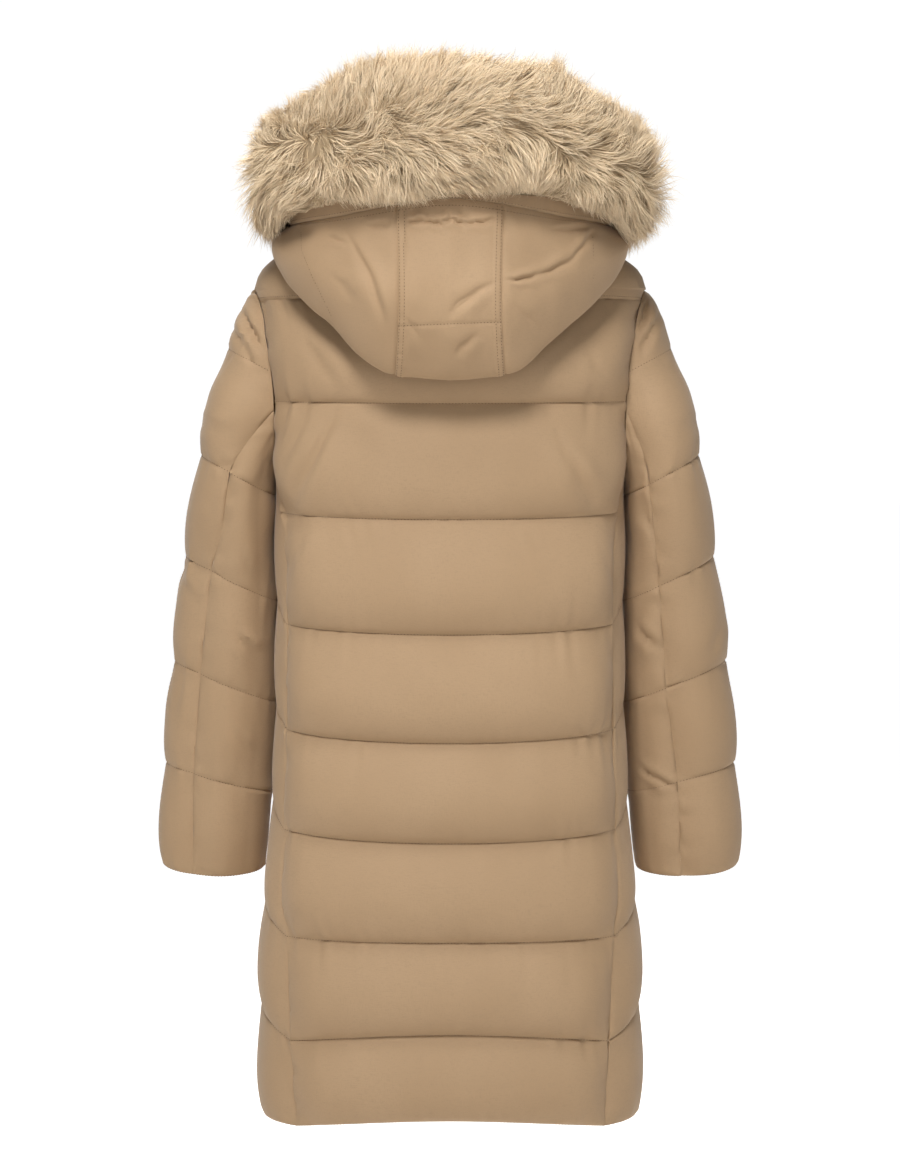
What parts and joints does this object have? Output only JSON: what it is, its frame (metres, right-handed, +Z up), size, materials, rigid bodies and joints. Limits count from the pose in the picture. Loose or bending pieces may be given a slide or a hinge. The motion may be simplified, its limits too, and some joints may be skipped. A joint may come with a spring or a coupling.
{
  "type": "long puffer coat",
  "caption": "Long hooded puffer coat in matt cloth with cross quilting, hood lying down under a wide faux fur trim, front zip closed, filled out as worn and hollow.",
  "frame": {"origin": "middle of the neck's base, where the wearer's shoulders and neck carry the coat", "axes": "+Z up, -Y out of the coat's front, +X to the wearer's left"},
  "size_m": [0.634, 0.366, 1.0983],
  "materials": {
    "shell_cloth": "matt fine woven cloth, sand",
    "faux_fur": "long-pile faux fur, light sand",
    "zip_tape_cloth": "woven zip tape, sand",
    "zip_metal": "satin metal"
  },
  "bodies": {
    "coat": {"back": "shell_cloth", "yoke": "shell_cloth", "side_left": "shell_cloth", "side_right": "shell_cloth", "front_left": "shell_cloth", "front_right": "shell_cloth", "sleeve_outer_left": "shell_cloth", "sleeve_outer_right": "shell_cloth", "sleeve_inner_left": "shell_cloth", "sleeve_inner_right": "shell_cloth", "collar": "shell_cloth", "hood_centre": "shell_cloth", "hood_left": "shell_cloth", "hood_right": "shell_cloth", "hood_band": "shell_cloth", "fur_trim": "faux_fur", "zip_tape_left": "zip_tape_cloth", "zip_tape_right": "zip_tape_cloth", "zip_slider": "zip_metal"},
    "pull_tab": {"zip_pull": "zip_metal"}
  },
  "joints": [
    {"name": "zip_pull_swing", "type": "hinge", "parent": "coat", "child": "pull_tab", "pos_m": [0, -0.06966, 0.00155], "axis": [-1, 0, 0], "range_deg": [0, 150]}
  ]
}
